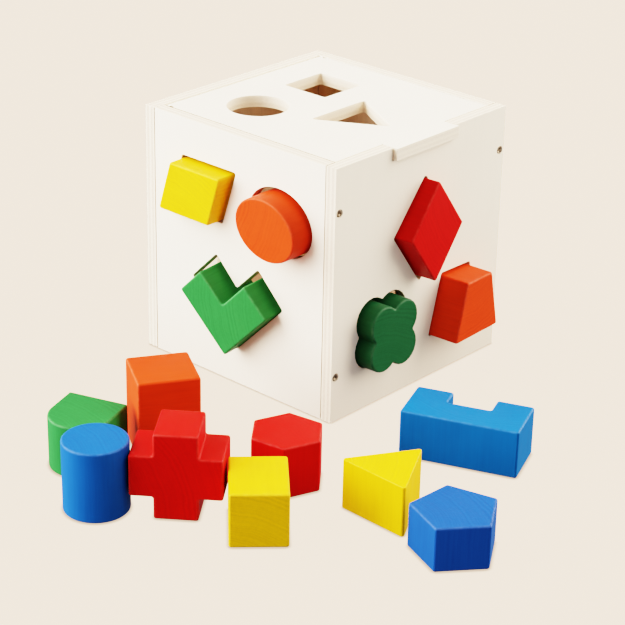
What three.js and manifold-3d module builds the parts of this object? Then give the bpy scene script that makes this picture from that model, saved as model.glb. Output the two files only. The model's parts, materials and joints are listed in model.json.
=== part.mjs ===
// Shape sorter: a plywood cube with fifteen shaped holes, a hinged lid and fifteen painted blocks.
// Millimetres, +Z up, +X to the right along the front panel, +Y towards the back panel.
// The origin is the centre of the box's underside, so the box and every loose block stand on z = 0.
import * as THREE from 'three';
import { mergeVertices } from 'three/addons/utils/BufferGeometryUtils.js';
import Module from 'manifold-3d';

const wasm = await Module();
wasm.setup();

// ---- driving dimensions ----------------------------------------------------------------------

const BOX_SIDE = 145;            // outside width and depth
const BOX_HEIGHT = 150;
const PLY = 7;                   // thickness of every panel and of the lid
const GLUE_GAP = 0.45;           // glue line round the panels that stand between the side panels

const LID_GAP = 0.8;             // slit between the lid and the panels round it
const LID_HINGE_GAP = 0.45;      // slit at the hinge end
const LID_EDGE_RADIUS = 2.2;     // rounding of the hinge end, which turns down beside the left panel
const PIVOT_INSET = 12.9;        // lid pivot, in from the outside of the left panel
const PIN_RADIUS = 1;            // steel pivot pins
const PIN_BORE_RADIUS = 1.3;
const PIN_IN_PANEL = 4.5;        // depth of each pin in the front or back panel
const PIN_IN_LID = 8;            // depth of each pin in the lid
const PIN_END_ROOM = 0.5;        // bores are this much deeper than the pins
const PIVOT_DIMPLE_RADIUS = 1.6; // round relief in the lid's edge above each pin
const PIVOT_DIMPLE_DEPTH = 1.2;

const NOTCH_WIDTH = 54;          // notch in the right panel's top edge
const NOTCH_FLOOR_GAP = 0.4;     // under the lid's tab
const TAB_FRONT_GAP = 0.8;       // beside the tab, at the front
const TAB_BACK_GAP = 0.5;        // beside the tab, at the back
const TAB_PROUD = 2.6;           // finger lift beyond the right panel

const SCREW_HEAD_RADIUS = 2.2;
const SCREW_HEAD_DEPTH = 1.9;    // height of the countersunk cone
const SCREW_SHANK_RADIUS = 0.9;
const SCREW_LENGTH = 18;
const SCREW_SUNK = 0.4;          // the head lies this far under the face
const SCREW_GAP = 0.3;           // all round each screw
const SCREW_HEIGHTS = [27, 124]; // above the underside
const SCREW_INSET = PLY / 2;     // from the front and back faces, so it enters the panel's end grain

const HOLE_CORNER = 1.5;         // corner radius of the sawn holes
const BLOCK_CORNER = 1.3;        // sanded long edges of the blocks
const ROUND_STEPS = 48;          // sides of a full circle
const CORNER_STEPS = 3;          // straight steps round one small corner

const COLOURS = {
  paint: 0xf6f3ec,
  steel: 0x8a7d6c,
  yellow: 0xf7e81e,
  orange: 0xf5641f,
  red: 0xd4140f,
  green: 0x3fb558,
  darkGreen: 0x1f6b35,
  blue: 0x2a8fe0,
};

const degrees = THREE.MathUtils.degToRad;
const half = BOX_SIDE / 2;
const innerHalf = half - PLY;

// ---- outlines --------------------------------------------------------------------------------
// Every outline is a list of corners, anticlockwise, about its own reference point.

const point = (x, y) => new THREE.Vector2(x, y);

const rectangle = (width, height) => [
  point(-width / 2, -height / 2), point(width / 2, -height / 2),
  point(width / 2, height / 2), point(-width / 2, height / 2),
];

// Corners on a circle, the first one towards +x.
const regular = (sides, radius) => Array.from({ length: sides }, (_, k) => {
  const angle = (2 * Math.PI * k) / sides;
  return point(radius * Math.cos(angle), radius * Math.sin(angle));
});

const ellipse = (a, b) => regular(ROUND_STEPS, 1).map((p) => point(a * p.x, b * p.y));

const parallelogram = (base, height, lean) => rectangle(base, height)
  .map((p) => point(p.x + (Math.sign(p.y) * lean) / 2, p.y));

const rhombus = (width, height) => [
  point(0, -height / 2), point(width / 2, 0), point(0, height / 2), point(-width / 2, 0),
];

const trapezoid = (top, bottom, height) => [
  point(-bottom / 2, -height / 2), point(bottom / 2, -height / 2),
  point(top / 2, height / 2), point(-top / 2, height / 2),
];

// Two equal arms that meet at a square corner, with the corner at the bottom.
const chevron = (arm, width) => [
  [0, 0], [arm, 0], [arm, width], [width, width], [width, arm], [0, arm],
].map(([x, y]) => point((x - y) * Math.SQRT1_2, (x + y) * Math.SQRT1_2));

const cross = (span, arm) => {
  const [s, a] = [span / 2, arm / 2];
  return [
    [a, -s], [a, -a], [s, -a], [s, a], [a, a], [a, s],
    [-a, s], [-a, a], [-s, a], [-s, -a], [-a, -a], [-a, -s],
  ].map(([x, y]) => point(x, y));
};

// A bar with a square notch in the middle of its upper side.
const notchedBar = (length, width, notchLength, notchDepth) => {
  const [l, w, n, floor] = [length / 2, width / 2, notchLength / 2, width / 2 - notchDepth];
  return [[-l, -w], [l, -w], [l, w], [n, w], [n, floor], [-n, floor], [-n, w], [-l, w]]
    .map(([x, y]) => point(x, y));
};

// A rectangle whose lower end is a half circle; the reference point is the half circle's centre.
const arch = (width, straight) => {
  const radius = width / 2;
  const bow = Array.from({ length: ROUND_STEPS / 2 + 1 }, (_, k) => {
    const angle = Math.PI + (2 * Math.PI * k) / ROUND_STEPS;
    return point(radius * Math.cos(angle), radius * Math.sin(angle));
  });
  return [...bow, point(radius, straight), point(-radius, straight)];
};

// Four round lobes whose centres lie at the corners of a square.
const quatrefoil = (radius, centre) => {
  const reach = Math.PI / 2 - Math.acos(centre / radius) + Math.PI / 4;
  const steps = ROUND_STEPS / 4;
  const outline = [];
  for (let lobe = 0; lobe < 4; lobe += 1) {
    const axis = Math.PI / 4 + (lobe * Math.PI) / 2;
    const middle = point(Math.SQRT2 * centre * Math.cos(axis), Math.SQRT2 * centre * Math.sin(axis));
    for (let k = 0; k < steps; k += 1) {
      const angle = axis + reach * ((2 * k) / steps - 1);
      outline.push(point(middle.x + radius * Math.cos(angle), middle.y + radius * Math.sin(angle)));
    }
  }
  return outline;
};

// Moves every side of an outline outwards by the same distance.
function grown(outline, distance) {
  const count = outline.length;
  return outline.map((corner, k) => {
    const before = corner.clone().sub(outline[(k + count - 1) % count]).normalize();
    const after = outline[(k + 1) % count].clone().sub(corner).normalize();
    const outBefore = point(before.y, -before.x);
    const outAfter = point(after.y, -after.x);
    const bisector = outBefore.clone().add(outAfter).normalize();
    return corner.clone().addScaledVector(bisector, distance / bisector.dot(outBefore));
  });
}

// Replaces every sharp corner of an outline by a small arc, and leaves smooth curves alone.
function rounded(outline, radius) {
  const count = outline.length;
  const sharp = degrees(20);
  return outline.flatMap((corner, k) => {
    const before = corner.clone().sub(outline[(k + count - 1) % count]).normalize();
    const after = outline[(k + 1) % count].clone().sub(corner).normalize();
    const bend = Math.atan2(before.cross(after), before.dot(after));
    if (Math.abs(bend) < sharp) return [corner];
    const setback = radius * Math.tan(Math.abs(bend) / 2);
    const start = corner.clone().addScaledVector(before, -setback);
    const side = Math.sign(bend);
    const centre = start.clone().add(point(-before.y * side * radius, before.x * side * radius));
    return Array.from({ length: CORNER_STEPS + 1 }, (_, step) => start.clone()
      .rotateAround(centre, (bend * step) / CORNER_STEPS));
  });
}

const turned = (outline, angle) => outline.map((p) => p.clone().rotateAround(point(0, 0), degrees(angle)));
const moved = (outline, x, y) => outline.map((p) => point(p.x + x, p.y + y));

// ---- the fifteen shapes ----------------------------------------------------------------------
// Each shape has a block (outline, length, colour) and a hole: its wall, the place of its reference
// point on that wall, its turn, and the clearance all round. Walls are seen from outside, with u to
// the right and v up from the underside; the lid's u and v are the box's x and y.

const SHAPES = {
  circle: {
    outline: ellipse(17.4, 17.4), length: 39.6, colour: 'blue',
    hole: { wall: 'lid', at: [-26.5, -28.5], turn: 0, clearance: 0.6 },
  },
  square: {
    outline: rectangle(30.2, 30.2), length: 39.6, colour: 'yellow',
    hole: { wall: 'lid', at: [-25.5, 25], turn: 0, clearance: 0.7 },
  },
  triangle: {
    outline: regular(3, 25.3), length: 28.2, colour: 'yellow',
    hole: { wall: 'lid', at: [23, -1], turn: 0, clearance: 0.6 },
  },
  parallelogram: {
    outline: parallelogram(39.2, 30, 9.6), length: 30, colour: 'yellow',
    hole: { wall: 'front', at: [-27.2, 111.4], turn: 0, clearance: 1.5 },
  },
  ellipse: {
    outline: ellipse(21.9, 17.5), length: 31, colour: 'orange',
    hole: { wall: 'front', at: [32.8, 108.2], turn: -11.5, clearance: 1.9 },
  },
  chevron: {
    outline: chevron(45.4, 22.4), length: 30, colour: 'green',
    hole: { wall: 'front', at: [0.2, 24.2], turn: 0, clearance: 2.3 },
  },
  rhombus: {
    outline: rhombus(46.3, 60), length: 30, colour: 'red',
    hole: { wall: 'right', at: [1.4, 95.1], turn: -1.5, clearance: 1.3 },
  },
  trapezoid: {
    outline: trapezoid(24.1, 41.2, 35.3), length: 36, colour: 'orange',
    hole: { wall: 'right', at: [33.2, 43.0], turn: -1, clearance: 1.1 },
  },
  quatrefoil: {
    outline: quatrefoil(11.2, 8.2), length: 29, colour: 'darkGreen',
    hole: { wall: 'right', at: [-31.8, 44.1], turn: -2, clearance: 1.7 },
  },
  hexagon: {
    outline: regular(6, 20.7), length: 29.6, colour: 'red',
    hole: { wall: 'back', at: [-32, 41], turn: 0, clearance: 0.9 },
  },
  pentagon: {
    outline: regular(5, 23.6), length: 24.6, colour: 'blue',
    hole: { wall: 'back', at: [33, 40], turn: 90, clearance: 0.9 },
  },
  notched_bar: {
    outline: notchedBar(65.7, 31.7, 24.4, 12.5), length: 27.6, colour: 'blue',
    hole: { wall: 'back', at: [0, 93], turn: 0, clearance: 0.9 },
  },
  cross: {
    outline: cross(48.2, 23.1), length: 28.6, colour: 'red',
    hole: { wall: 'left', at: [0, 94], turn: 0, clearance: 0.9 },
  },
  arch: {
    outline: arch(35.4, 19.3), length: 29.9, colour: 'green',
    hole: { wall: 'left', at: [34, 42], turn: 180, clearance: 0.9 },
  },
  rectangle: {
    outline: rectangle(46.6, 33.6), length: 34.1, colour: 'orange',
    hole: { wall: 'left', at: [-30, 41], turn: 0, clearance: 0.9 },
  },
};

// Blocks that stick in their holes. shift is the block's place against the hole's, out is how far
// the outer end stands proud of the wall, and nod and yaw are its small tilts in degrees.
const POSTED = {
  parallelogram: { shift: [-1.2, -0.7], out: 9.9, nod: 0.5, yaw: 0 },
  ellipse: { shift: [-0.1, -0.9], out: 13.1, nod: 0.5, yaw: 0 },
  chevron: { shift: [0, -2.7], out: 11, nod: 2.5, yaw: 2.7 },
  rhombus: { shift: [0, 0.6], out: 11.1, nod: -1.5, yaw: 1.5 },
  trapezoid: { shift: [-0.2, -0.6], out: 17.8, nod: 0, yaw: 3.5 },
  quatrefoil: { shift: [0.1, -1.2], out: 10.5, nod: -1.5, yaw: 0 },
};

// Blocks that lie round the box: the place of the reference point, and the heading of the outline's
// x axis. Standing blocks stand on one end, and the others have their length level; the rectangle
// then stands on its short side.
const LOOSE = {
  circle: { at: [48.3, -223.5], heading: 0, standing: true },
  hexagon: { at: [98.6, -135.8], heading: 9.4, standing: true },
  triangle: { at: [159.1, -124.6], heading: -31.5, standing: true },
  notched_bar: { at: [148.3, -47.9], heading: 21.8, standing: true },
  pentagon: { at: [206.3, -129.5], heading: -4, standing: true },
  arch: { at: [8.6, -197.9], heading: 19, standing: true },
  square: { at: [121.4, -180.8], heading: 45, standing: false },
  rectangle: { at: [25, -153.9], heading: -32, standing: false, onEnd: true },
  cross: { at: [78.3, -193.5], heading: 37.2, standing: false },
};

// ---- solids ----------------------------------------------------------------------------------

function toSolid(geometry) {
  const bare = geometry.clone();
  bare.deleteAttribute('normal');
  bare.deleteAttribute('uv');
  const merged = mergeVertices(bare, 1e-4);
  return new wasm.Manifold(new wasm.Mesh({
    numProp: 3,
    vertProperties: new Float32Array(merged.attributes.position.array),
    triVerts: new Uint32Array(merged.index.array),
  }));
}

function toGeometry(solid) {
  const mesh = solid.getMesh();
  const geometry = new THREE.BufferGeometry();
  geometry.setAttribute('position', new THREE.BufferAttribute(mesh.vertProperties, 3));
  geometry.setIndex(new THREE.BufferAttribute(mesh.triVerts, 1));
  geometry.computeVertexNormals();
  return geometry;
}

// Extrudes an outline with its holes from z = from to z = to.
function plate(outline, holes, from, to) {
  const shape = new THREE.Shape(outline);
  shape.holes = holes.map((hole) => new THREE.Path(hole));
  const geometry = new THREE.ExtrudeGeometry(shape, { depth: to - from, bevelEnabled: false });
  return geometry.translate(0, 0, from);
}

// A round bar along +X or +Y that starts at the given point.
function bar(axis, radius, start, length) {
  const geometry = new THREE.CylinderGeometry(radius, radius, length, 16).translate(0, length / 2, 0);
  if (axis === 'x') geometry.rotateZ(-Math.PI / 2);
  return geometry.translate(...start);
}

function named(name, geometry, colour, metalness = 0) {
  const material = new THREE.MeshStandardMaterial({
    color: COLOURS[colour], roughness: metalness ? 0.4 : 0.55, metalness,
  });
  const mesh = new THREE.Mesh(geometry, material);
  mesh.name = name;
  return mesh;
}

// ---- walls -----------------------------------------------------------------------------------
// A wall's group has +z pointing out of the box, x to the right seen from outside and y up; its
// outer face is z = 0 and its origin is the middle of the box's lower edge.

const axisX = new THREE.Vector3(1, 0, 0);
const axisY = new THREE.Vector3(0, 1, 0);
const axisZ = new THREE.Vector3(0, 0, 1);

const WALLS = {
  front: { right: axisX, out: axisY.clone().negate() },
  back: { right: axisX.clone().negate(), out: axisY },
  right: { right: axisY, out: axisX },
  left: { right: axisY.clone().negate(), out: axisX.clone().negate() },
};

function wallGroup(wall) {
  const { right, out } = WALLS[wall];
  const group = new THREE.Group();
  group.quaternion.setFromRotationMatrix(new THREE.Matrix4().makeBasis(right, axisZ, out));
  group.position.copy(out).multiplyScalar(half);
  return group;
}

function holesOf(wall) {
  return Object.values(SHAPES).filter(({ hole }) => hole.wall === wall).map(({ outline, hole }) => {
    const cut = rounded(grown(outline, hole.clearance), HOLE_CORNER);
    return moved(turned(cut, hole.turn), ...hole.at);
  });
}

// Front and back panels stand between the side panels, which cover their ends.
function cappedPanel(wall) {
  const width = 2 * (innerHalf - GLUE_GAP);
  const outline = moved(rectangle(width, BOX_HEIGHT), 0, BOX_HEIGHT / 2);
  let solid = toSolid(plate(outline, holesOf(wall), -PLY, 0));
  const pivotSide = wall === 'front' ? -1 : 1;
  const pinBore = bar('y', PIN_BORE_RADIUS, [0, 0, 0], PIN_IN_PANEL + PIN_END_ROOM + 1)
    .rotateX(Math.PI / 2)
    .translate(pivotSide * (half - PIVOT_INSET), BOX_HEIGHT - PLY / 2, -PLY - 1);
  solid = solid.subtract(toSolid(pinBore));
  for (const side of [-1, 1]) {
    for (const height of SCREW_HEIGHTS) {
      const reach = SCREW_LENGTH + SCREW_SUNK + SCREW_GAP;
      const start = side < 0 ? -half : half - reach;
      solid = solid.subtract(toSolid(
        bar('x', SCREW_SHANK_RADIUS + SCREW_GAP, [start, height, -SCREW_INSET], reach),
      ));
    }
  }
  return named(`${wall}_panel`, toGeometry(solid), 'paint');
}

// A countersunk screw along +z, with its head's face at z = 0, grown by gap all round.
function screwGeometry(gap) {
  const head = SCREW_HEAD_RADIUS + gap;
  const shank = SCREW_SHANK_RADIUS + gap;
  const top = gap ? SCREW_SUNK + 1 : 0;
  const profile = [
    point(0, -SCREW_LENGTH - gap), point(shank, -SCREW_LENGTH - gap),
    point(shank, -SCREW_HEAD_DEPTH), point(head, 0), point(head, top), point(0, top),
  ];
  const outline = top ? profile : profile.filter((p, k) => k !== 4);
  return new THREE.LatheGeometry(outline, 16).rotateX(Math.PI / 2);
}

const screwPlaces = SCREW_HEIGHTS.flatMap((height) => [-1, 1]
  .map((side) => [side * (half - SCREW_INSET), height]));

// Side panels are full size; the right one has the notch for the lid's tab.
function coveringPanel(wall) {
  let outline = moved(rectangle(BOX_SIDE, BOX_HEIGHT), 0, BOX_HEIGHT / 2);
  if (wall === 'right') {
    const floor = BOX_HEIGHT - PLY - NOTCH_FLOOR_GAP;
    const notch = NOTCH_WIDTH / 2;
    outline = [
      ...outline.slice(0, 3),
      point(notch, BOX_HEIGHT), point(notch, floor), point(-notch, floor), point(-notch, BOX_HEIGHT),
      outline[3],
    ];
  }
  let solid = toSolid(plate(outline, holesOf(wall), -PLY, 0));
  for (const [u, v] of screwPlaces) {
    solid = solid.subtract(toSolid(screwGeometry(SCREW_GAP).translate(u, v, -SCREW_SUNK)));
  }
  return named(`${wall}_panel`, toGeometry(solid), 'paint');
}

function screwsOf(wall) {
  return screwPlaces.map(([u, v], k) => {
    const screw = named(`${wall}_screw_${k + 1}`, screwGeometry(0), 'steel', 1);
    screw.position.set(u, v, -SCREW_SUNK);
    return screw;
  });
}

// ---- lid and bottom --------------------------------------------------------------------------

const pivotX = -half + PIVOT_INSET;
const pivotZ = BOX_HEIGHT - PLY / 2;

function lid() {
  const [left, right] = [-innerHalf + LID_HINGE_GAP, innerHalf - LID_GAP];
  const side = innerHalf - LID_GAP;
  const tab = half + TAB_PROUD;
  const tabFront = -NOTCH_WIDTH / 2 + TAB_FRONT_GAP;
  const tabBack = NOTCH_WIDTH / 2 - TAB_BACK_GAP;
  const outline = [
    [left, -side], [right, -side], [right, tabFront], [tab, tabFront],
    [tab, tabBack], [right, tabBack], [right, side], [left, side],
  ].map(([x, y]) => point(x, y));
  let solid = toSolid(plate(outline, holesOf('lid'), BOX_HEIGHT - PLY, BOX_HEIGHT));
  solid = solid.intersect(toSolid(hingeRounding(left, tab)));
  for (const end of [-1, 1]) {
    const bore = PIN_IN_LID + PIN_END_ROOM + LID_GAP;
    const start = end < 0 ? -innerHalf : innerHalf - bore;
    solid = solid.subtract(toSolid(bar('y', PIN_BORE_RADIUS, [pivotX, start, pivotZ], bore)));
    const dimple = new THREE.CylinderGeometry(PIVOT_DIMPLE_RADIUS, PIVOT_DIMPLE_RADIUS, PLY, 16)
      .rotateX(Math.PI / 2)
      .scale(1, PIVOT_DIMPLE_DEPTH / PIVOT_DIMPLE_RADIUS, 1)
      .translate(pivotX, end * side, BOX_HEIGHT);
    solid = solid.subtract(toSolid(dimple));
  }
  return named('lid', toGeometry(solid), 'paint');
}

// The lid's side view with its hinge end rounded, extruded across the box; it runs on past the tab.
function hingeRounding(left, right) {
  const length = right - left + 2 * LID_EDGE_RADIUS;
  const profile = moved(rectangle(length, PLY), left + length / 2, pivotZ);
  return plate(rounded(profile, LID_EDGE_RADIUS), [], -half, half).rotateX(Math.PI / 2);
}

function pin(end) {
  const length = PIN_IN_PANEL + PIN_IN_LID + LID_GAP;
  const start = end < 0 ? -innerHalf - PIN_IN_PANEL : innerHalf + PIN_IN_PANEL - length;
  const name = end < 0 ? 'lid_pin_front' : 'lid_pin_back';
  return named(name, bar('y', PIN_RADIUS, [pivotX, start, pivotZ], length), 'steel', 1);
}

function bottomPanel() {
  const side = 2 * (innerHalf - GLUE_GAP);
  return named('bottom_panel', plate(rectangle(side, side), [], 0, PLY), 'paint');
}

// ---- blocks ----------------------------------------------------------------------------------

// A block's own frame has its outline in x and y and its length along z, from -length to 0.
function block(name) {
  const { outline, length, colour } = SHAPES[name];
  return named(`${name}_block`, plate(rounded(outline, BLOCK_CORNER), [], -length, 0), colour);
}

function postedBlock(name) {
  const { shift, out, nod, yaw } = POSTED[name];
  const { hole } = SHAPES[name];
  const piece = block(name);
  const lean = new THREE.Group();
  lean.position.set(hole.at[0] + shift[0], hole.at[1] + shift[1], 0);
  lean.rotation.set(degrees(nod), degrees(yaw), degrees(hole.turn));
  piece.position.z = out;
  lean.add(piece);
  return lean;
}

function looseBlock(name) {
  const { at, heading, standing, onEnd } = LOOSE[name];
  const { outline, length } = SHAPES[name];
  const piece = block(name);
  if (standing) {
    piece.position.z = length;
  } else {
    // The length lies level, and the outline stands upright on its lower side or its left one.
    const { max } = new THREE.Box2().setFromPoints(outline);
    piece.rotation.set(Math.PI / 2, 0, onEnd ? Math.PI / 2 : 0);
    piece.position.set(0, -length / 2, onEnd ? max.x : max.y);
  }
  const place = new THREE.Group();
  place.position.set(...at, 0);
  place.rotation.z = degrees(heading);
  place.add(piece);
  return place;
}

// ---- assembly --------------------------------------------------------------------------------

const sorter = new THREE.Group();
sorter.add(bottomPanel(), lid(), pin(-1), pin(1));

for (const wall of Object.keys(WALLS)) {
  const group = wallGroup(wall);
  const capped = wall === 'front' || wall === 'back';
  group.add(capped ? cappedPanel(wall) : coveringPanel(wall));
  if (!capped) group.add(...screwsOf(wall));
  for (const name of Object.keys(POSTED)) {
    if (SHAPES[name].hole.wall === wall) group.add(postedBlock(name));
  }
  sorter.add(group);
}

for (const name of Object.keys(LOOSE)) sorter.add(looseBlock(name));

export default sorter;
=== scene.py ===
"""Shape sorter: a white plywood cube with a hinged lid, and fifteen painted wooden blocks.

Each visible piece starts from its CAD node's solid. Its flat faces are joined, its edges are
rounded, and paint, plywood or steel made of shader nodes goes on its faces. The screws are built
here whole. Metres, +Z up; the origin is the centre of the box's underside.
"""

import json
import math

import bmesh
import bpy
from mathutils import Matrix, Vector


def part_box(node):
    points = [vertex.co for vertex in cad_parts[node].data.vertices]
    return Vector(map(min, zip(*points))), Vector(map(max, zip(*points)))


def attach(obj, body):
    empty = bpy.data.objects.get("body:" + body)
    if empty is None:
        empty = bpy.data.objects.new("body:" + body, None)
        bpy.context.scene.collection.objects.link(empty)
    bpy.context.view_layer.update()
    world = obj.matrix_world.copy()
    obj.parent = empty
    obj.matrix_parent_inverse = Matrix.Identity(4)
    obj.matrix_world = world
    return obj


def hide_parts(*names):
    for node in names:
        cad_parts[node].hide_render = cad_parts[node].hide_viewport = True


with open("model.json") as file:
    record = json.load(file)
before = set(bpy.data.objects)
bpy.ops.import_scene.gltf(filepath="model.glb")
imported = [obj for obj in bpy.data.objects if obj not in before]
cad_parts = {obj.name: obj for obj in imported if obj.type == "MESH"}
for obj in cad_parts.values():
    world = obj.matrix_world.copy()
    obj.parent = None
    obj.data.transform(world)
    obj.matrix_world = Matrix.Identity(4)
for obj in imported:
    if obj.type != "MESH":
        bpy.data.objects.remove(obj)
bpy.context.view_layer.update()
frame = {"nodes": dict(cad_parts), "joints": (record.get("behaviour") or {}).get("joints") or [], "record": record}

MM = 0.001
X, Y, Z = Vector((1, 0, 0)), Vector((0, 1, 0)), Vector((0, 0, 1))

# ---- driving dimensions ------------------------------------------------------------------------

BOX_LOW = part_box("left_panel")[0]
BOX_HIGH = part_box("right_panel")[1]
BOX_HEIGHT = BOX_HIGH.z
PLY = 7 * MM

PANEL_ROUNDING = 0.45 * MM
BLOCK_ROUNDING = 1.15 * MM
PIN_ROUNDING = 0.25 * MM
ROUNDING_STEPS = 3
BORE_MARGIN = 1.5 * MM           # edges this near to a pin or a screw stay crisp

WELD = 0.001 * MM
FLAT = math.radians(0.1)         # faces that meet at less than this are one face
SHARP = math.radians(40)         # edges over this are rounded
FACING = 0.35                    # a face leans to a panel's flat side if its normal does by this

SCREW_HEAD_RADIUS = 2.2 * MM
SCREW_HEAD_DEPTH = 1.9 * MM
SCREW_HEAD_BEVEL = 0.12 * MM
SCREW_CORE_RADIUS = 0.62 * MM
SCREW_THREAD_RADIUS = 0.9 * MM
SCREW_PITCH = 1.3 * MM
SCREW_RIDGE = 0.28               # half of the thread's width, as a share of the pitch
SCREW_RINGS_PER_PITCH = 8
SCREW_POINT = 3 * MM             # length of the tapered point
SCREW_TIP = 0.04                 # the tip's radius, as a share of the shank's
SCREW_TURN = 0.9                 # radians from one screw's cross to the next one's
CROSS_ARM = 1.35 * MM            # the screwdriver cross, from its centre to an arm's end
CROSS_WIDTH = 0.5 * MM
CROSS_DEPTH = 0.9 * MM
CROSS_FLOOR_ARM = 0.55           # shares of the arm and the width that are left at the bottom
CROSS_FLOOR_WIDTH = 0.7

# Where each loose block's outline has its x axis, in degrees from the box's +X, and whether the
# block stands on one end or lies with its length level.
STANDING = {
    "circle": 0, "hexagon": 9.4, "triangle": -31.5, "notched_bar": 21.8, "pentagon": -4, "arch": 19,
}
LYING = {"square": 45, "rectangle": -32, "cross": 37.2}

# ---- camera ------------------------------------------------------------------------------------

CAMERA_AZIMUTH = 41.96           # degrees from straight in front, towards the right panel
CAMERA_ELEVATION = 24.81
CAMERA_ROLL = 1.18
CAMERA_TARGET = Vector((0.0754, -0.0921, 0.075))
CAMERA_DISTANCE = 1.0857
CAMERA_LENS = 117.85             # millimetres, on a 36 mm sensor


def direction(angle, elevation):
    """The unit vector at an angle from +X, anticlockwise, and an elevation, both in degrees."""
    a, e = math.radians(angle), math.radians(elevation)
    return Vector((math.cos(a) * math.cos(e), math.sin(a) * math.cos(e), math.sin(e)))


def add_camera():
    data = bpy.data.cameras.new("camera")
    data.sensor_width = 36
    data.lens = CAMERA_LENS
    data.clip_end = 100
    camera = bpy.data.objects.new("camera", data)
    bpy.context.scene.collection.objects.link(camera)
    back = direction(CAMERA_AZIMUTH - 90, CAMERA_ELEVATION)
    turn = (-back).to_track_quat("-Z", "Y").to_matrix().to_4x4()
    roll = Matrix.Rotation(math.radians(CAMERA_ROLL), 4, "Z")
    camera.matrix_world = Matrix.Translation(CAMERA_TARGET + CAMERA_DISTANCE * back) @ turn @ roll
    bpy.context.scene.camera = camera


# ---- materials ---------------------------------------------------------------------------------


class Shader:
    """A Principled material with short calls for the nodes that feed it."""

    def __init__(self, name, **constants):
        self.material = bpy.data.materials.new(name)
        self.material.use_nodes = True
        self.tree = self.material.node_tree
        self.principled = self.tree.nodes["Principled BSDF"]
        for socket, value in constants.items():
            self.principled.inputs[socket.replace("_", " ")].default_value = value

    def feed(self, socket, value):
        if isinstance(value, bpy.types.NodeSocket):
            self.tree.links.new(value, socket)
        else:
            socket.default_value = value

    def node(self, kind, inputs, **settings):
        made = self.tree.nodes.new("ShaderNode" + kind)
        for name, value in settings.items():
            setattr(made, name, value)
        for name, value in inputs.items():
            self.feed(made.inputs[name], value)
        return made

    def place(self):
        """Where the surface is in the piece's own frame, in metres."""
        return self.node("TexCoord", {}).outputs["Object"]

    def scaled(self, vector, scale, shift=(0, 0, 0)):
        mapping = {"Vector": vector, "Scale": scale, "Location": shift}
        return self.node("Mapping", mapping).outputs["Vector"]

    def noise(self, vector, scale, detail=3.0):
        inputs = {"Vector": vector, "Scale": scale, "Detail": detail}
        return self.node("TexNoise", inputs).outputs["Fac"]

    def ranged(self, value, low, high, to_low=0.0, to_high=1.0):
        inputs = {"Value": value, "From Min": low, "From Max": high,
                  "To Min": to_low, "To Max": to_high}
        return self.node("MapRange", inputs).outputs["Result"]

    def sum(self, a, b):
        return self.node("Math", {0: a, 1: b}, operation="ADD").outputs[0]

    def product(self, a, b):
        return self.node("Math", {0: a, 1: b}, operation="MULTIPLY").outputs[0]

    def attribute(self, name):
        return self.node("Attribute", {}, attribute_name=name).outputs["Fac"]

    def mix(self, factor, a, b):
        """The colour a, with this much of the colour b."""
        return self.node("Mix", {0: factor, 6: a, 7: b}, data_type="RGBA").outputs[2]

    def ramp(self, value, stops):
        made = self.node("ValToRGB", {"Fac": value})
        elements = made.color_ramp.elements
        while len(elements) < len(stops):
            elements.new(1)
        for element, (position, colour) in zip(elements, stops):
            element.position = position
            element.color = colour
        return made.outputs["Color"]

    def finish(self, colour, roughness, height, depth):
        """Links the colour, the roughness, and a bump whose full height is depth metres."""
        bump = self.node("Bump", {"Height": height, "Distance": depth})
        self.feed(self.principled.inputs["Base Color"], colour)
        self.feed(self.principled.inputs["Roughness"], roughness)
        self.feed(self.principled.inputs["Normal"], bump.outputs["Normal"])
        return self.material


def rgb(red, green, blue):
    """A display colour, 0 to 255, as the linear colour that a shader takes."""
    def linear(value):
        share = value / 255
        return share / 12.92 if share <= 0.04045 else ((share + 0.055) / 1.055) ** 2.4

    return (linear(red), linear(green), linear(blue), 1.0)


def shade(colour, factor):
    return (*(min(1.0, channel * factor) for channel in colour[:3]), 1.0)


def toward(colour, other, share):
    return tuple(a + (b - a) * share for a, b in zip(colour, other))


SATIN = 0.2                      # specular level of the box's paint; the blocks' is duller
GREY = (0.5, 0.5, 0.5, 1.0)

BIRCH = rgb(228, 198, 158)
BIRCH_DARK = rgb(176, 128, 84)
INNER_VENEER = rgb(210, 174, 140)
PRIMER = rgb(236, 226, 206)
WHITE_PAINT = rgb(244, 229, 205)
# The colour and the height of the painted shade along the walls' foot.
PAINTED_FOOT_SHADE = rgb(206, 170, 138)
PAINTED_FOOT_SHADE_HEIGHT = 45 * MM
RUST = rgb(96, 76, 58)
STEEL = rgb(156, 138, 116)
RING_SPACING = 1.3 * MM          # year rings of the blocks' beech

PAINTS = {
    "yellow": rgb(227, 166, 10),
    "orange": rgb(213, 57, 18),
    "red": rgb(184, 16, 10),
    "green": rgb(42, 109, 52),
    "dark_green": rgb(29, 77, 46),
    "blue": rgb(24, 79, 152),
}
OWN_PAINTS = {"notched_bar": rgb(18, 86, 150), "pentagon": rgb(25, 70, 142)}    # other blues


def ring_lines(s, place, heart, spacing):
    """Year rings about a line along z through heart, as uneven light and dark bands."""
    from_heart = s.scaled(place, (1, 1, 0.06), (-heart[0], -heart[1], 0))
    radius = s.node("VectorMath", {0: from_heart}, operation="LENGTH").outputs["Value"]
    waver = s.ranged(s.noise(place, 75.0, 2.0), 0, 1, -1.5 * spacing, 1.5 * spacing)
    across = s.node("CombineXYZ", {"X": s.sum(radius, waver)}).outputs[0]
    return s.ranged(s.noise(across, 1 / spacing, 1.0), 0.3, 0.7)


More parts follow.
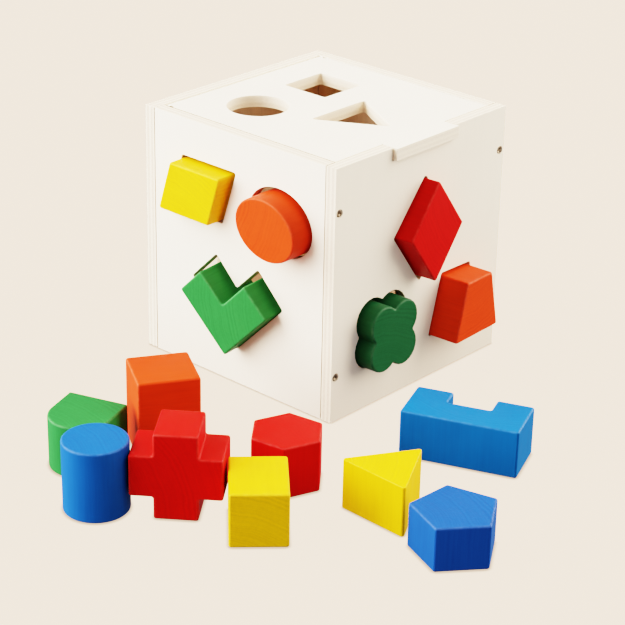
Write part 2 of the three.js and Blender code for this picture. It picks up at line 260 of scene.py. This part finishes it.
def painted_wood(name, colour, heart):
    """Satin paint on beech. Fibres run along z; heart is the centre of the year rings.

    The rings show on the sawn ends, and hardly at all along the fibres.
    """
    s = Shader(name, Specular_IOR_Level=0.06)
    place = s.place()
    fibre = s.noise(s.scaled(place, (800, 800, 30)), 1.0, 4.0)
    sawn_end = s.ranged(s.attribute("end"), 0.7, 0.95, 0.25, 1.0)
    rings = s.mix(sawn_end, GREY, ring_lines(s, place, heart, RING_SPACING))
    cloud = s.noise(place, 55.0, 2.0)
    tone = s.sum(s.product(fibre, 0.4), s.sum(s.product(rings, 0.35), s.product(cloud, 0.25)))
    paint = s.mix(s.ranged(tone, 0.25, 0.75), shade(colour, 0.82), shade(colour, 1.14))
    # The rounded edges turn a lighter shade of the same paint: mostly a painted highlight along the rims, with a
    # little rubbed wear towards the primer.
    rubbed = s.ranged(s.noise(place, 300.0, 2.0), 0.3, 0.7, 0.1, 0.6)
    worn_and_highlit = s.product(s.attribute("edge"), rubbed)
    paint = s.mix(worn_and_highlit, paint, toward(shade(colour, 1.3), PRIMER, 0.06))
    relief = s.sum(s.product(fibre, 0.7), s.product(rings, 0.3))
    return s.finish(paint, s.ranged(cloud, 0.3, 0.7, 0.42, 0.52), relief, 0.04 * MM)


def ply_depth(s, place):
    """How deep the surface lies in the panel, from 0 at the outer face to 1 at the inner one."""
    depth = s.node("SeparateXYZ", {"Vector": place}).outputs["Z"]
    waver = s.ranged(s.noise(place, 90.0, 2.0), 0, 1, -0.03, 0.03)
    return s.sum(s.product(depth, -1 / PLY), waver)


def ply_layers(s, depth):
    """Light and dark plies with a thin glue line between them."""
    glue = shade(BIRCH_DARK, 0.62)
    return s.ramp(depth, [
        (0.0, BIRCH), (0.17, BIRCH), (0.19, glue), (0.21, BIRCH_DARK), (0.37, BIRCH_DARK),
        (0.39, glue), (0.41, BIRCH), (0.6, BIRCH), (0.62, glue), (0.64, BIRCH_DARK),
        (0.79, BIRCH_DARK), (0.81, glue), (0.83, BIRCH), (1.0, BIRCH),
    ])


def white_face(name, foot_shade):
    """The painted faces: thin satin paint over a birch veneer whose grain runs along y.

    On the walls, where y is the height, the paint darkens by this share towards the foot: painted shade for the
    shade near the floor.
    """
    s = Shader(name, Specular_IOR_Level=SATIN)
    place = s.place()
    grain = s.noise(s.scaled(place, (420, 12, 60)), 1.0, 4.0)
    cloud = s.noise(place, 22.0, 3.0)
    tone = s.sum(s.product(grain, 0.4), s.product(cloud, 0.6))
    paint = s.mix(s.ranged(tone, 0.35, 0.65), shade(WHITE_PAINT, 0.965), WHITE_PAINT)
    rubbed = s.ranged(s.noise(place, 200.0, 2.0), 0.35, 0.7, 0.0, 0.14)
    paint = s.mix(s.product(s.attribute("edge"), rubbed), paint, BIRCH)
    height = s.node("SeparateXYZ", {"Vector": place}).outputs["Y"]
    # Painted shade: the paint darkens towards the foot of the walls, for the shade near the floor.
    paint = s.mix(s.ranged(height, 0.0, PAINTED_FOOT_SHADE_HEIGHT, foot_shade, 0.0), paint, PAINTED_FOOT_SHADE)
    return s.finish(paint, s.ranged(cloud, 0.3, 0.7, 0.42, 0.55), grain, 0.03 * MM)


def white_edge(name, least, most):
    """Outer edges: the same paint, with the plies showing through it by a share in this range."""
    s = Shader(name, Specular_IOR_Level=SATIN)
    place = s.place()
    plies = ply_layers(s, ply_depth(s, place))
    fuzz = s.noise(s.scaled(place, (700, 700, 1500)), 1.0, 3.0)
    share = s.ranged(fuzz, 0.3, 0.7, least, most)
    return s.finish(s.mix(share, WHITE_PAINT, plies), 0.6, s.sum(plies, fuzz), 0.05 * MM)


def sawn_ply(name, tone, outer_paint, inner_paint):
    """Sawn plies, darkened by tone, under white paint in these shares at the two faces."""
    s = Shader(name, Specular_IOR_Level=0.15)
    place = s.place()
    depth = ply_depth(s, place)
    fuzz = s.noise(s.scaled(place, (700, 700, 1600)), 1.0, 4.0)
    dark, light = toward(BIRCH, BIRCH_DARK, 0.4), shade(BIRCH, 1.08)
    # The tone darkens the wood: below 1 it is painted shade, for the walls' narrow gaps round the blocks and for
    # the seams.
    wood = s.mix(s.ranged(fuzz, 0.3, 0.7), shade(dark, tone), shade(light, tone))
    wood = s.mix(0.35, wood, ply_layers(s, depth))
    wood = s.mix(s.ranged(depth, 0.0, 0.8, outer_paint, inner_paint), wood, WHITE_PAINT)
    return s.finish(wood, 0.8, fuzz, 0.12 * MM)


def bare_veneer():
    """The inside of the box: bare birch, with white paint over the walls' tops that fades down."""
    s = Shader("bare_veneer", Specular_IOR_Level=0.25)
    place = s.place()
    height = s.node("SeparateXYZ", {"Vector": place}).outputs["Y"]
    brim = s.ranged(height, BOX_HEIGHT - 3 * MM, BOX_HEIGHT - 1.5 * MM)
    mist = s.ranged(height, BOX_HEIGHT - 45 * MM, BOX_HEIGHT - 8 * MM, 0.0, 0.36)
    grain = s.noise(s.scaled(place, (600, 16, 60)), 1.0, 4.0)
    figure = s.noise(s.scaled(place, (60, 8, 30)), 1.0, 3.0)
    tone = s.sum(s.product(grain, 0.35), s.product(figure, 0.65))
    wood = s.mix(s.ranged(tone, 0.35, 0.65), shade(INNER_VENEER, 0.8), shade(INNER_VENEER, 1.05))
    return s.finish(s.mix(s.sum(brim, mist), wood, WHITE_PAINT), 0.7, grain, 0.05 * MM)


def dull_steel():
    s = Shader("dull_steel", Metallic=1.0)
    place = s.place()
    stain = s.noise(place, 900.0, 3.0)
    colour = s.mix(s.ranged(stain, 0.35, 0.65), RUST, STEEL)
    return s.finish(colour, s.ranged(stain, 0.3, 0.7, 0.35, 0.6), stain, 0.02 * MM)


# ---- pieces ------------------------------------------------------------------------------------

SLOT_OF = {part["node"]: part["material_slot"] for part in frame["record"]["subparts"]}
BODY_OF = {
    node: body for body, nodes in frame["record"]["behaviour"]["bodies"].items() for node in nodes
}
SMALL_METAL = [node for node in SLOT_OF if "_screw_" in node or node.startswith("lid_pin")]


def axes(x, z, origin=(0, 0, 0)):
    """The matrix of a frame with these x and z axes at this origin."""
    z = Vector(z).normalized()
    y = z.cross(x).normalized()
    x = y.cross(z)
    turn = Matrix((x, y, z)).transposed().to_4x4()
    return Matrix.Translation(origin) @ turn


METAL_BOXES = [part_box(node) for node in SMALL_METAL]


def is_near_metal(point):
    return any(
        all(low[k] - BORE_MARGIN < point[k] < high[k] + BORE_MARGIN for k in range(3))
        for low, high in METAL_BOXES
    )


def rounded_solid(node, rounding):
    """The CAD node's solid as a bmesh with its flat faces joined and its sharp edges rounded."""
    solid = bmesh.new()
    solid.from_mesh(frame["nodes"][node].data)
    bmesh.ops.remove_doubles(solid, verts=solid.verts, dist=WELD)
    bmesh.ops.dissolve_limit(
        solid, angle_limit=FLAT, use_dissolve_boundaries=False, verts=solid.verts, edges=solid.edges
    )
    solid.normal_update()
    sharp = [
        edge for edge in solid.edges
        if edge.calc_face_angle(0) > SHARP
        and (node in SMALL_METAL or not is_near_metal((edge.verts[0].co + edge.verts[1].co) / 2))
    ]
    bmesh.ops.bevel(
        solid, geom=sharp, offset=rounding, offset_type="OFFSET", segments=ROUNDING_STEPS,
        profile=0.5, affect="EDGES", clamp_overlap=True, loop_slide=False,
    )
    return solid


def mark_faces(solid):
    """Two face attributes: end is 1 on the faces across z, and edge is 1 half way round to them."""
    end = solid.faces.layers.float.new("end")
    edge = solid.faces.layers.float.new("edge")
    for face in solid.faces:
        lean = abs(face.normal.z)
        face[end] = lean
        face[edge] = 2 * lean * math.sqrt(max(0.0, 1 - lean * lean))


def add_piece(node, name, solid, place, materials):
    """Makes the piece from a bmesh in its own frame, and hangs it on the node's body."""
    for face in solid.faces:
        face.smooth = True
    mesh = bpy.data.meshes.new(name)
    solid.to_mesh(mesh)
    solid.free()
    for material in materials:
        mesh.materials.append(material)
    piece = bpy.data.objects.new(name, mesh)
    bpy.context.scene.collection.objects.link(piece)
    piece.matrix_world = place
    normals = piece.modifiers.new("even_normals", "WEIGHTED_NORMAL")
    normals.weight = 100
    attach(piece, BODY_OF[node])
    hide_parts(node)
    return piece


def outer_rim(solid):
    """The faces that go round the panel's outside, and not round one of its holes."""
    rim = {face for face in solid.faces if abs(face.normal.z) < FACING}
    start = max(rim, key=lambda face: face.calc_center_median().x)
    found, waiting = {start}, [start]
    while waiting:
        for edge in waiting.pop().edges:
            for face in edge.link_faces:
                if face in rim and face not in found:
                    found.add(face)
                    waiting.append(face)
    return found


# The axis, in the panel's own frame, of the two edges that are hidden in a glue line or a slit.
HIDDEN_EDGES = {"front_panel": 0, "back_panel": 0, "lid": 1}
OUTERMOST = 0.9                  # a face further out than this share of the panel's reach is an end

# The places in a panel's list of materials.
OUTER_FACE, OUTER_EDGE, HOLE_WALL, INNER_FACE, SEAM = range(5)


def is_hidden(face, axis, reach):
    out = abs(face.calc_center_median()[axis])
    return abs(face.normal[axis]) > FACING and out > OUTERMOST * reach


def add_panel(node, right, out, origin, materials):
    """A plywood panel. In its own frame z points out of the box and the outer face is z = 0."""
    axis = HIDDEN_EDGES.get(node)
    place = axes(right, out, origin)
    solid = rounded_solid(node, PANEL_ROUNDING)
    solid.transform(place.inverted())
    solid.normal_update()
    rim = outer_rim(solid)
    reach = max(vertex.co[axis or 0] for vertex in solid.verts)
    for face in solid.faces:
        if face.normal.z > FACING:
            face.material_index = OUTER_FACE
        elif face.normal.z < -FACING:
            face.material_index = INNER_FACE
        # Edges hidden in a glue line or a slit get the seam ply, darkened as painted shade.
        elif axis is not None and is_hidden(face, axis, reach):
            face.material_index = SEAM
        else:
            face.material_index = OUTER_EDGE if face in rim else HOLE_WALL
    mark_faces(solid)
    add_piece(node, node + "_ply", solid, place, materials)


def block_frames():
    """Each block's frame: z along its length, x along its outline's own x axis."""
    frames = {}
    for joint in frame["joints"]:
        if joint["name"].endswith("_slide"):
            length = Vector(joint["axis"])
            frames[joint["child"]] = axes(Z.cross(length), length)
    for name, heading in STANDING.items():
        frames[name] = axes(direction(heading, 0), Z)
    for name, heading in LYING.items():
        frames[name] = axes(direction(heading, 0), direction(heading - 90, 0))
    return frames


# How far the trunk's centre lies from each block, in its own frame, as (angle, distance).
HEARTS = {
    "ellipse": (160, 90), "chevron": (10, 80), "cross": (200, 70), "notched_bar": (80, 50),
    "trapezoid": (100, 60), "rhombus": (30, 90),
}
DEFAULT_HEART = (250, 60)


def heart_of(name):
    angle, distance = HEARTS.get(name, DEFAULT_HEART)
    offset = distance * MM * direction(angle, 0)
    return offset.x, offset.y


def add_block(name, turn):
    node = name + "_block"
    low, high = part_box(node)
    place = Matrix.Translation((low + high) / 2) @ turn
    solid = rounded_solid(node, BLOCK_ROUNDING)
    solid.transform(place.inverted())
    solid.normal_update()
    mark_faces(solid)
    paint = OWN_PAINTS.get(name, PAINTS[SLOT_OF[node].removesuffix("_painted_wood")])
    material = painted_wood(f"{name}_paint", paint, heart_of(name))
    add_piece(node, node + "_painted", solid, place, [material])


# ---- screws ------------------------------------------------------------------------------------


def ring(solid, radius, height, sides=32):
    """A ring of vertices; radius is a number, or a function of the angle."""
    vertices = []
    for k in range(sides):
        angle = 2 * math.pi * k / sides
        reach = radius(angle) if callable(radius) else radius
        vertices.append(solid.verts.new((reach * math.cos(angle), reach * math.sin(angle), height)))
    return vertices


def join_rings(solid, upper, lower):
    count = len(upper)
    for k in range(count):
        after = (k + 1) % count
        solid.faces.new((upper[k], lower[k], lower[after], upper[after]))


def cross_outline(arm, width):
    a, w = arm, width / 2
    return [(a, -w), (a, w), (w, w), (w, a), (-w, a), (-w, w),
            (-a, w), (-a, -w), (-w, -w), (-w, -a), (w, -a), (w, -w)]


def thread_radius(height, tip):
    """The shank's radius as a function of the angle: a thread that dies away into the point."""
    taper = min(1.0, (height - tip) / SCREW_POINT)

    def radius(angle):
        turn = (height / SCREW_PITCH + angle / (2 * math.pi)) % 1
        ridge = max(0.0, 1 - abs(turn - 0.5) / SCREW_RIDGE)
        thread = (SCREW_THREAD_RADIUS - SCREW_CORE_RADIUS) * ridge
        return (SCREW_CORE_RADIUS + thread) * max(taper, SCREW_TIP)

    return radius


def screw_solid(length):
    """A countersunk wood screw along z, with its head's face at z = 0."""
    solid = bmesh.new()
    rim = ring(solid, SCREW_HEAD_RADIUS - SCREW_HEAD_BEVEL, 0)
    shoulder = ring(solid, SCREW_HEAD_RADIUS, -SCREW_HEAD_BEVEL)
    neck = ring(solid, SCREW_CORE_RADIUS, -SCREW_HEAD_DEPTH)
    join_rings(solid, rim, shoulder)
    join_rings(solid, shoulder, neck)
    upper = neck
    shank = length - SCREW_HEAD_DEPTH
    steps = round(SCREW_RINGS_PER_PITCH * shank / SCREW_PITCH)
    for k in range(1, steps + 1):
        height = -SCREW_HEAD_DEPTH - shank * k / steps
        lower = ring(solid, thread_radius(height, -length), height)
        join_rings(solid, upper, lower)
        upper = lower
    solid.faces.new(upper[::-1])
    mouth = [solid.verts.new((x, y, 0)) for x, y in cross_outline(CROSS_ARM, CROSS_WIDTH)]
    floor = [
        solid.verts.new((x, y, -CROSS_DEPTH))
        for x, y in cross_outline(CROSS_FLOOR_ARM * CROSS_ARM, CROSS_FLOOR_WIDTH * CROSS_WIDTH)
    ]
    for k in range(len(mouth)):
        after = (k + 1) % len(mouth)
        solid.faces.new((mouth[k], mouth[after], floor[after], floor[k]))
    solid.faces.new(floor)
    open_edges = [edge for edge in solid.edges if edge.is_boundary]
    bmesh.ops.triangle_fill(solid, use_beauty=True, edges=open_edges)
    bmesh.ops.recalc_face_normals(solid, faces=solid.faces)
    return solid


def add_screw(node, steel):
    low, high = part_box(node)
    side = 1 if low.x > 0 else -1
    head = Vector((high.x if side > 0 else low.x, (low.y + high.y) / 2, (low.z + high.z) / 2))
    turn = Matrix.Rotation(SCREW_TURN * SMALL_METAL.index(node), 4, "Z")
    place = axes(Y, side * X, head) @ turn
    add_piece(node, node + "_steel", screw_solid(high.x - low.x), place, [steel])


def add_pin(node, steel):
    low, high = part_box(node)
    place = axes(X, Y, (low + high) / 2)
    solid = rounded_solid(node, PIN_ROUNDING)
    solid.transform(place.inverted())
    add_piece(node, node + "_steel", solid, place, [steel])


# ---- the object --------------------------------------------------------------------------------

add_camera()

# In the order of the places above. The walls' paint darkens towards the foot as painted shade, and the lid's and
# the bottom's does not; the paint has run further into the lid's holes.
wall_ply = [
    white_face("white_paint", 0.3),
    white_edge("white_edge", 0.33, 0.5),
    # Its hole walls are darkened to 0.45 of the lid's: painted shade for the narrow gaps round the blocks.
    sawn_ply("sawn_ply", 0.45, 0.2, 0.0),
    bare_veneer(),
    # The seams' ply is darkened to 0.2: painted shade in the glue lines and slits.
    sawn_ply("seam_shade_ply", 0.2, 0.0, 0.0),
]
level_ply = [
    white_face("white_lid_paint", 0.0),
    white_edge("white_lid_edge", 0.12, 0.26),
    sawn_ply("painted_sawn_ply", 1.0, 0.8, 0.45),
    wall_ply[INNER_FACE],
    wall_ply[SEAM],
]
for panel, right, out, origin, materials in (
    ("front_panel", X, -Y, Y * BOX_LOW.y, wall_ply),
    ("back_panel", -X, Y, Y * BOX_HIGH.y, wall_ply),
    ("left_panel", -Y, -X, X * BOX_LOW.x, wall_ply),
    ("right_panel", Y, X, X * BOX_HIGH.x, wall_ply),
    ("bottom_panel", X, -Z, Z * BOX_LOW.z, level_ply),
    ("lid", X, Z, Z * BOX_HIGH.z, level_ply),
):
    add_panel(panel, right, out, origin, materials)

for name, turn in block_frames().items():
    add_block(name, turn)

steel = dull_steel()
for node in SMALL_METAL:
    if "_screw_" in node:
        add_screw(node, steel)
    else:
        add_pin(node, steel)

# ---- studio ------------------------------------------------------------------------------------

BACKDROP = rgb(255, 221, 189)
FLOOR_GLOW = 2.01
FLOOR_GLOW_AT_FOOT = 0.45 * FLOOR_GLOW
FLOOR_SIZE = 12.0
FOOT_SHADOW = 2.5 * MM           # how far out a block still darkens the floor
FLOOR_DROP = 0.2 * MM            # keeps the floor off the faces that stand on it
SKY_BELOW, SKY_ABOVE = 0.12, 0.9


def add_floor():
    """A pale floor that glows, so that the only shadows on it are thin ones at the blocks' feet."""
    mesh = bpy.data.meshes.new("floor")
    reach = FLOOR_SIZE / 2
    corners = [
        (x * reach, y * reach, -FLOOR_DROP) for x, y in ((-1, -1), (1, -1), (1, 1), (-1, 1))
    ]
    mesh.from_pydata(corners, [], [(0, 1, 2, 3)])
    shader = Shader("floor", Roughness=0.9, Specular_IOR_Level=0.0)
    shader.principled.inputs["Base Color"].default_value = shade(BACKDROP, 0.02)
    shader.principled.inputs["Emission Color"].default_value = BACKDROP
    openness = shader.node("AmbientOcclusion", {"Distance": FOOT_SHADOW}).outputs["AO"]
    glow = shader.ranged(openness, 0.5, 0.9, FLOOR_GLOW_AT_FOOT, FLOOR_GLOW)
    shader.feed(shader.principled.inputs["Emission Strength"], glow)
    mesh.materials.append(shader.material)
    floor = bpy.data.objects.new("floor", mesh)
    floor.visible_diffuse = False
    floor.visible_glossy = False
    bpy.context.scene.collection.objects.link(floor)


def add_lamp(name, colour, angle, elevation, strength, softness, distance):
    """A round soft box, softness degrees wide, that gives the box this strength of light."""
    radius = distance * math.tan(math.radians(softness / 2))
    data = bpy.data.lights.new(name, "AREA")
    data.shape = "DISK"
    data.size = 2 * radius
    data.color = colour
    data.energy = strength * math.pi * (radius ** 2 + distance ** 2)
    light = bpy.data.objects.new(name, data)
    light.visible_camera = False
    bpy.context.scene.collection.objects.link(light)
    away = direction(angle, elevation)
    light.location = BOX_HEIGHT / 2 * Z + distance * away
    light.rotation_mode = "QUATERNION"
    light.rotation_quaternion = away.to_track_quat("Z", "Y")


def add_sky():
    """The room's own light: brighter from above than from below."""
    world = bpy.data.worlds.new("studio")
    bpy.context.scene.world = world
    world.use_nodes = True
    nodes, links = world.node_tree.nodes, world.node_tree.links
    upward = nodes.new("ShaderNodeSeparateXYZ")
    links.new(nodes.new("ShaderNodeTexCoord").outputs["Generated"], upward.inputs[0])
    strength = nodes.new("ShaderNodeMapRange")
    strength.inputs["From Min"].default_value = -1
    strength.inputs["To Min"].default_value = SKY_BELOW
    strength.inputs["To Max"].default_value = SKY_ABOVE
    links.new(upward.outputs["Z"], strength.inputs["Value"])
    background = nodes["Background"]
    background.inputs["Color"].default_value = (1, 1, 1, 1)
    links.new(strength.outputs["Result"], background.inputs["Strength"])


add_floor()
add_sky()
add_lamp("left_lamp", (1.0, 0.98, 0.95),
         angle=224, elevation=20, strength=13.8, softness=70, distance=2.0)
add_lamp("right_lamp", (1.0, 0.9, 0.79),
         angle=63, elevation=25, strength=9.3, softness=70, distance=1.5)
bpy.context.scene.view_settings.view_transform = "Filmic"
bpy.context.scene.view_settings.look = "High Contrast"
